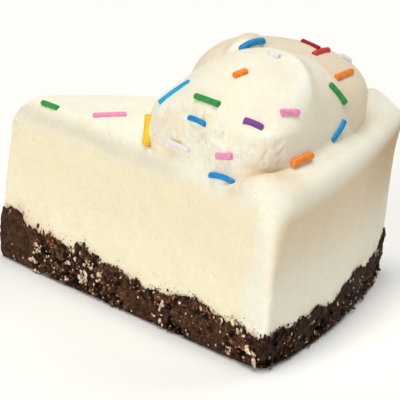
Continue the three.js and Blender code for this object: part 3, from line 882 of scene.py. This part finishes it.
def edge_quads(inside, number):
    """A quad of cell numbers round each grid edge that the surface crosses."""
    quads = []
    for axis in range(3):
        u, v = (axis + 1) % 3, (axis + 2) % 3
        along = [int(k == axis) for k in range(3)]
        ahead = inside[tuple(slice(o, None) for o in along)]
        behind = inside[tuple(slice(0, n - o) for o, n in zip(along, inside.shape))]
        for flip, change in ((False, behind & ~ahead), (True, ahead & ~behind)):
            at = np.argwhere(change)
            ring = []
            for du, dv in ((-1, -1), (0, -1), (0, 0), (-1, 0)):
                cell = at.copy()
                cell[:, u] += du
                cell[:, v] += dv
                ring.append(number[tuple(cell.T)])
            if flip:
                ring.reverse()
            quads.append(np.stack(ring, axis=1))
    return np.concatenate(quads)


def surface_net(low, values):
    """One point in each grid cell that the surface crosses, and a quad round each crossed grid edge."""
    inside = values < 0
    shape = [n - 1 for n in values.shape]
    count = np.zeros(shape, np.uint8)
    for corner in CELL_CORNERS:
        count += inside[tuple(slice(o, o + n) for o, n in zip(corner, shape))]
    crossed = (count > 0) & (count < len(CELL_CORNERS))
    cells = np.argwhere(crossed)
    number = np.full(shape, -1)
    number[crossed] = np.arange(len(cells))
    return low + cell_points(values, cells) * GRID_STEP, edge_quads(inside, number)


def make_cream_body():
    """Ice cream, coat and swirl in one closed mesh, before they are parted."""
    points, quads = surface_net(*sample_grid())
    for _ in range(2):
        slope = slope_of(cream_form, points, 0.15)
        square = np.maximum(np.sum(slope ** 2, axis=1), 0.2)
        move = np.clip(cream_field(points), -0.5, 0.5) / square
        points = points - slope * move[:, None]
    points[:, 2] = np.maximum(points[:, 2], CREAM_FLOOR)
    return points, quads, np.zeros((0, 3), int)


def ice_cream_space():
    """The space of the ice cream: cross-sections along Y, with a wavy top and outer side."""
    stations = np.linspace(-58, 58, 100)
    sections = []
    for y in stations:
        rim_x = WALL_MIDDLE + math.sqrt((WALL_RADIUS - WALL_COAT) ** 2 - y * y)
        up = np.linspace(CREAM_FLOOR - 3, TOP - TOP_COAT, 28)
        back = np.linspace(rim_x, -8, 64)
        side = np.column_stack(np.broadcast_arrays(rim_x, y, up))
        roof = np.column_stack(np.broadcast_arrays(back, y, TOP - TOP_COAT))[1:]
        side[:, 0] += 0.9 * layered_noise(side, 9, 2, 31)
        roof[:, 2] += 0.8 * layered_noise(roof, 8, 2, 32)
        floor = np.array([[-8, y, CREAM_FLOOR - 3]])
        sections.append(np.concatenate([floor, side, roof]))
    columns = len(sections[0])
    points = np.concatenate(sections)
    quads, caps = shell_faces(len(sections), columns)
    start, end = points[:columns].mean(axis=0), points[-columns:].mean(axis=0)
    points = np.concatenate([start[None], points, end[None]])
    return points, quads[:, ::-1], caps[:, ::-1]


# ------------ crust

def crust_surface(points):
    """Relief of the crust's sides, and the pits and the gaps between its pebbles."""
    calm = pressed_share(points)
    rough = 1 - 0.85 * calm
    big, big_gap, _ = pebbles(points, *BIG_PEBBLES)
    middle, middle_gap, _ = pebbles(points, *MIDDLE_PEBBLES)
    small, small_gap, _ = pebbles(points, *SMALL_PEBBLES)
    pits = rise(noise(points, 1.7, 41), 0.64, 0.12) * rough
    relief = crust_crumbs(points) * (0.8 - 0.5 * calm) + 0.05 + 0.4 * rise(points[:, 2], 3, 4)
    relief += rough * (0.60 * (0.55 - big) + 0.50 * (0.5 - middle) + 0.30 * (0.5 - small)) - 1.2 * pits
    flare = 0.6 * hump(points[:, 0], 20, 9) * fall(points[:, 2], 7, 7)
    foot = smooth_step(points[:, 2] / 1.4)
    relief = (relief + flare) * (0.4 + 0.6 * foot) - 0.6 * (1 - foot)
    near_corner = np.exp(np.minimum(near_cut(points), 0) / 6 + np.minimum(outer_wall(points), 0) / 6)
    relief -= 1.5 * near_corner * (1 - smooth_step(points[:, 2] / 2.2))
    relief = np.where(points[:, 2] > CREAM_FLOOR - 0.6, np.maximum(relief, 0.28), relief)
    return relief, pits, np.minimum(middle_gap, big_gap), small_gap


def make_crust(material):
    """The crumb crust: pebbly walls with pits, and pockets of cream between the crumbs."""
    plan = outline(*CRUST_COUNTS)
    flat = at_height(plan, 0)
    ragged = 1.0 * (pebbles(flat, 1.7, 4)[2] - 0.5) + 0.6 * (pebbles(flat, 0.8, 5)[2] - 0.5)
    top = crust_line(flat) + ragged
    last_level = CRUST_LEVELS - 1
    aims = np.concatenate([at_height(plan, top * level / last_level) for level in range(CRUST_LEVELS)])
    centres = aims * (0, 0, 1) + CRUST_MIDDLE
    points = cast(wedge_sides, centres, aims, near=0.6, far=1.4, stride=0.05)
    relief, pits, gap, small_gap = crust_surface(points)
    points = push_along_rays(points, centres, normals_of(wedge_sides, points), relief)
    colour = crust_tone(points, pits, gap, small_gap)

    ring = len(plan)
    lid = [points[-ring:] * (1 - share) + CRUST_MIDDLE * share for share in (0.02, 0.035, 0.3, 0.7)]
    lid[0][:, 2] -= 0.3
    for loop in lid[1:]:
        loop[:, 2] = CREAM_FLOOR - 0.1
    points = np.concatenate([CRUST_MIDDLE[None], points, *lid, [CRUST_MIDDLE + (0, 0, CREAM_FLOOR - 0.1)]])
    colour = np.concatenate([colour[:1], colour, np.tile(CRUMB_TONE, (ring * len(lid) + 1, 1))])
    points[:, 2] = np.maximum(points[:, 2], 0)
    quads, triangles = shell_faces(CRUST_LEVELS + len(lid), ring)
    piece = make_piece("crust", points, quads, triangles, material, "crumb_crust")
    paint(piece, colour)
    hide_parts("crumb_crust")


def pressed_share(p):
    """One where the crumbs are pressed smooth: at the tip of the near cut, and in patches along it."""
    edge = 2.0 * (noise(p, 3.0, 45) - 0.5)
    tip = smooth_step((15 + edge - p[:, 0]) / 4) * (near_cut(p) > -4)
    patches = 0.75 * rise(cloud(p, 7.0, 47), 0.50, 0.14) * rise(p[:, 0], 34, 8)
    return np.maximum(tip, patches)


def crust_tone(p, pits, gap, small_gap):
    """Dark crumbs, russet near the line, with cream between them; painted shade darkens their pits, the
    gaps between them and the outer wall.
    """
    calm = pressed_share(p)
    shade = 0.34 + 2.1 * pebbles(p, *MIDDLE_PEBBLES)[2] ** 1.7 + 0.8 * (pebbles(p, *SMALL_PEBBLES)[2] - 0.5)
    shade = np.maximum(shade, 0.12)
    shade = shade * (1 - calm) + calm * (0.62 + 0.8 * (noise(p, 1.2, 44) - 0.5))
    # Painted shade in the pits and in the gaps between the crumbs
    shade *= 1 - 0.9 * pits
    crack = np.maximum(fall(gap, 0.16, 0.12), 0.6 * fall(small_gap, 0.14, 0.1))
    shade *= 1 - 0.88 * crack * (1 - calm)
    # Painted shade: the crust on the outer wall darker than on the cuts
    shade *= 1.45 - 0.8 * hump(outer_wall(p), 0, 3)
    below = np.maximum(crust_line(p) - p[:, 2], 0)
    redness = rise(noise(p, 2.4, 46), 0.55, 0.2) * (0.25 + 0.75 * np.exp(-below / 1.6))
    colour = blend(CRUMB_TONE, RUSSET_TONE, redness * (1 - calm))
    return blend(colour * shade[:, None], FLECK_TONE, cream_pockets(p))


def cream_pockets(p):
    """Where cream shows between the crumbs: in clusters on the near cut and in a streak at the corner."""
    along = np.hypot(p[:, 0], p[:, 1])
    on_near = near_cut(p) > -2.5
    cluster = rise(noise(p, 5.0, 53), 0.45, 0.25)
    density = 0.030 + 0.16 * hump(along, 33, 13) * cluster + 0.10 * hump(along, 95, 4.0)
    density = np.where(on_near, density, 0.045) * rise(along, 13, 4)
    field = noise(p, 1.1, 51) * 0.6 + noise(p, 0.55, 52) * 0.4
    return smooth_step((field - (0.83 - density)) / 0.03)


def icosphere(levels):
    mesh = bpy.data.meshes.new("ball")
    ball = bmesh.new()
    bmesh.ops.create_icosphere(ball, subdivisions=levels, radius=1.0)
    ball.to_mesh(mesh)
    ball.free()
    points = np.array([v.co[:] for v in mesh.vertices])
    faces = np.array([f.vertices[:] for f in mesh.polygons])
    bpy.data.meshes.remove(mesh)
    return points, faces


def side_site(side, share, height):
    """A place on one side of the wedge and its outward normal."""
    if side == "wall":
        x, y = wall_point(2 * share - 1)
        return np.array([x, y, height]), np.array([x - WALL_MIDDLE, y, 0]) / WALL_RADIUS
    flip = -1 if side == "near" else 1
    place = np.array([share * CUT_REACH, flip * share * HALF_CHORD, height])
    return place, np.array([-math.sin(HALF_ANGLE), flip * math.cos(HALF_ANGLE), 0])


def scatter_lumps(name, specs, ball, material, slot, seed):
    """Joins irregular lumps; each spec is a place, an outward normal, three radii, a turn and a colour."""
    points, faces = ball
    all_points, all_faces, all_colours = [], [], []
    for number, (place, outward, radii, turn, colour) in enumerate(specs):
        level = np.cross([0, 0, 1], outward)
        level /= np.linalg.norm(level)
        upright = np.cross(outward, level)
        along = level * math.cos(turn) + upright * math.sin(turn)
        axes = np.array([along, np.cross(outward, along), outward]) * radii[:, None]
        knobs = 1 + 0.7 * layered_noise(points + number * 3.7, 0.9, 2, seed)
        all_faces.append(faces + len(points) * number)
        all_points.append((points * knobs[:, None]) @ axes + place)
        all_colours.append(np.tile(colour, (len(points), 1)))
    merged = np.concatenate(all_points)
    merged[:, 2] = np.maximum(merged[:, 2], 0.05)
    piece = make_piece(name, merged, np.zeros((0, 4), int), np.concatenate(all_faces), material, slot)
    paint(piece, np.concatenate(all_colours))


def make_crumbs(material):
    """Loose crumbs pressed into the crust's sides and along its line, and a few above it on the cream."""
    draw = np.random.default_rng(11)
    specs = []

    def crumb(side, share, height, size, depth):
        place, outward = side_site(side, share, height)
        radii = size * np.array([draw.uniform(0.8, 1.6), draw.uniform(0.6, 1.1), draw.uniform(0.5, 0.8)])
        tone = CRUMB_TONE * draw.uniform(0.3, 2.8)
        if draw.random() > 0.84:
            tone = RUSSET_TONE * draw.uniform(0.6, 1.6)
        specs.append((place + outward * depth, outward, radii, draw.uniform(0, math.pi), tone))

    def foot_and_line(side, share):
        foot = side_site(side, share, 0)[0][None]
        return foot, crust_line(foot)[0]

    for side, count in PRESSED_CRUMBS:
        for _ in range(count):
            share = draw.uniform(0.01, 0.995)
            foot, line = foot_and_line(side, share)
            pressed = 1 - 0.55 * pressed_share(foot + (0, 0, 5))[0]
            size = (0.26 + 0.50 * draw.random() ** 2.4) * pressed
            if draw.random() < 0.36:
                crumb(side, share, line + draw.normal(0.0, 0.5), size * 0.85, draw.uniform(-0.1, 0.25))
            else:
                crumb(side, share, draw.uniform(0.4, line), size, draw.uniform(-0.1, 0.4))
    for side, count in CRUMBS_ABOVE:
        for _ in range(count):
            share = draw.uniform(0.02, 0.98)
            _, line = foot_and_line(side, share)
            crumb(side, share, line + 0.3 + draw.exponential(0.7), draw.uniform(0.07, 0.20), 0.02)
    scatter_lumps("crust_crumbs", specs, icosphere(1), material, "crumb_crust", 61)


def make_cream_bits(material):
    """Bits of cream caught between the crumbs, thickest near the tip and in a streak at the corner."""
    draw = np.random.default_rng(23)
    specs = []

    def bit(side, share, height, size, stretch, turn=None):
        place, outward = side_site(side, share, height)
        radii = size * np.array([stretch, 0.75, 0.5])
        tone = FLECK_TONE * draw.uniform(0.80, 1.05)
        depth = draw.uniform(0.25, 0.6)
        if turn is None:
            turn = draw.uniform(0, math.pi)
        specs.append((place + outward * depth, outward, radii, turn, tone))

    for _ in range(BIT_CLUSTERS):
        middle = np.clip(draw.normal(0.31, 0.13), 0.15, 0.62)
        height = draw.uniform(1.5, 9.0)
        for _ in range(BITS_IN_CLUSTER):
            bit("near", middle + draw.normal(0, 0.012), height + draw.normal(0, 1.2),
                0.22 + 0.60 * draw.random() ** 2, draw.uniform(0.8, 1.5))
    for _ in range(NEAR_BITS):
        bit("near", draw.uniform(0.15, 0.99), draw.uniform(0.6, 10.0), 0.13 + 0.2 * draw.random(), 1.1)
    for step in range(STREAK_BITS):
        share = 0.892 + 0.007 * step
        bit("near", share + draw.normal(0, 0.003), 9.8 - 0.6 * step + draw.normal(0, 0.7),
            0.42 + 0.45 * draw.random(), draw.uniform(1.4, 2.2), draw.normal(-0.9, 0.3))
    for _ in range(WALL_BITS):
        bit("wall", draw.uniform(0.02, 0.98), draw.uniform(0.8, 9.0), 0.10 + 0.24 * draw.random() ** 2, 1.2)
    for _ in range(FAR_BITS):
        bit("far", draw.uniform(0.05, 0.98), draw.uniform(0.8, 9.5), 0.2 + 0.4 * draw.random() ** 2, 1.3)
    scatter_lumps("cream_bits", specs, icosphere(2), material, "ice_cream", 71)


# ------------ sprinkles

def rod(middle, normal, along, length, radius, bend, number):
    """One sugar rod with rounded ends, slightly uneven, lying on the cream."""
    side = np.cross(normal, along)
    side /= np.linalg.norm(side)
    cap = 0.12 * radius / length
    stations = [(-0.5, 0.80), (-0.5 + cap, 0.95), (-0.5 + 2.5 * cap, 1.0), (-0.25, 1.0), (0.0, 0.98),
                (0.25, 1.0), (0.5 - 2.5 * cap, 1.0), (0.5 - cap, 0.95), (0.5, 0.80)]
    loops = []
    for at, width in stations:
        sag = bend * (1 - (2 * at) ** 2) - bend / 2
        core = middle + along * at * length + side * sag
        uneven = 1 + 0.10 * (lattice_value(number, int(at * 100) + 200, 9)[0] - 0.5)
        for turn in np.arange(ROD_SIDES) * 2 * math.pi / ROD_SIDES:
            out = side * math.cos(turn) + normal * math.sin(turn)
            loops.append(core + out * radius * width * uneven)
    start, end = (middle + along * at * length - side * bend / 2 for at in (-0.5, 0.5))
    points = np.concatenate([[start], loops, [end]])
    quads, triangles = shell_faces(len(stations), ROD_SIDES)
    return points, quads, triangles


def swirl_rod(spec, number):
    _, heading, climb, turn, length, radius, bend = spec
    heading, climb, turn = (math.radians(a) for a in (heading, climb, turn))
    level_aim = math.cos(climb) * np.array([math.cos(heading), math.sin(heading), 0])
    aim = 16 * (level_aim + (0, 0, math.sin(climb)))
    foot = cast(cream_form, SWIRL_CENTRE[None], (SWIRL_CENTRE + aim)[None])
    normal = normals_of(cream_form, foot, 0.6)[0]
    level = np.cross([0, 0, 1], normal)
    level /= np.linalg.norm(level)
    along = level * math.cos(turn) + np.cross(normal, level) * math.sin(turn)
    return rod(foot[0] + normal * SPRINKLE_RISE * radius, normal, along, length, radius, bend, number)


def top_rod(spec, number):
    _, x, y, bearing, length, radius, bend = spec
    foot = cast(cream_form, np.array([[x, y, 20.0]]), np.array([[x, y, TOP]]), 0.5, 1.5)
    normal = normals_of(cream_form, foot, 0.6)[0]
    level = np.array([math.cos(math.radians(bearing)), math.sin(math.radians(bearing)), 0])
    along = level - normal * level.dot(normal)
    along /= np.linalg.norm(along)
    return rod(foot[0] + normal * SPRINKLE_RISE * radius, normal, along, length, radius, bend, number)


def make_sprinkles():
    """One piece for each colour."""
    made = [(spec[0], swirl_rod(spec, n)) for n, spec in enumerate(SWIRL_SPRINKLES)]
    made += [(spec[0], top_rod(spec, 50 + n)) for n, spec in enumerate(TOP_SPRINKLES)]
    for colour_name, colour in SPRINKLE_COLOURS.items():
        rods = [parts for name, parts in made if name == colour_name]
        points, quads, triangles = (list(group) for group in zip(*rods))
        for n in range(len(rods)):
            quads[n] = quads[n] + n * len(points[0])
            triangles[n] = triangles[n] + n * len(points[0])
        material = sprinkle_material(colour_name, colour)
        make_piece("sprinkles_" + colour_name, np.concatenate(points), np.concatenate(quads),
                   np.concatenate(triangles), material, "sprinkle_" + colour_name)


# ------------ studio

def make_camera():
    data = bpy.data.cameras.new("camera")
    data.sensor_width = SENSOR_MM
    data.lens = LENS_MM
    data.clip_end = 20
    camera = bpy.data.objects.new("camera", data)
    forward = (CAMERA_AIM - CAMERA_PLACE).normalized()
    level = forward.cross(Vector((0, 0, 1))).normalized()
    upright = level.cross(forward)
    right = level * math.cos(CAMERA_ROLL) + upright * math.sin(CAMERA_ROLL)
    up = right.cross(forward)
    turn = Matrix((right, up, -forward)).transposed()
    camera.matrix_world = Matrix.Translation(CAMERA_PLACE) @ turn.to_4x4()
    bpy.context.scene.collection.objects.link(camera)
    bpy.context.scene.camera = camera


def soft_sun(name, direction, strength, spread, colour):
    data = bpy.data.lights.new(name, "SUN")
    data.energy = strength
    data.angle = math.radians(spread)
    data.color = colour
    light = bpy.data.objects.new(name, data)
    light.rotation_euler = Vector(direction).to_track_quat("-Z", "Y").to_euler()
    bpy.context.scene.collection.objects.link(light)


def make_studio():
    bpy.ops.mesh.primitive_plane_add(size=FLOOR_SIZE, location=(0, 0, -FLOOR_GAP))
    floor = bpy.context.object
    floor.name = "floor"
    floor.data.materials.append(floor_material())
    for sun in SUNS:
        soft_sun(*sun)
    world = bpy.data.worlds.new("studio")
    world.use_nodes = True
    background = world.node_tree.nodes["Background"]
    background.inputs["Color"].default_value = WORLD_COLOUR
    background.inputs["Strength"].default_value = WORLD_STRENGTH
    bpy.context.scene.world = world
    bpy.context.scene.view_settings.view_transform = "Standard"


# ------------ the slice

def build():
    make_camera()
    make_studio()
    whipped = cream_material("whipped_cream", 0.7)
    scoop = cream_material("ice_cream", 1.0)
    crust = crust_material("cookie_crumbs")

    body = make_cream_body()
    cream = make_piece("whipped_cream", *body, whipped, "whipped_cream")
    ice_cream = make_piece("ice_cream_filling", *body, scoop, "ice_cream")
    space = make_piece("space", *ice_cream_space(), whipped, "whipped_cream")
    boolean(ice_cream, space, "INTERSECT")
    boolean(cream, space, "DIFFERENCE")
    bpy.data.objects.remove(space)
    for piece in (cream, ice_cream):
        paint(piece, cream_tone(from_frame(piece)))
        smooth_faces(piece.data)
        shade_by_form(piece)
    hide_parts("whipped_coat", "whipped_swirl")
    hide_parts("ice_cream")

    make_crust(crust)
    make_crumbs(crust)
    make_cream_bits(crust)
    make_sprinkles()


build()
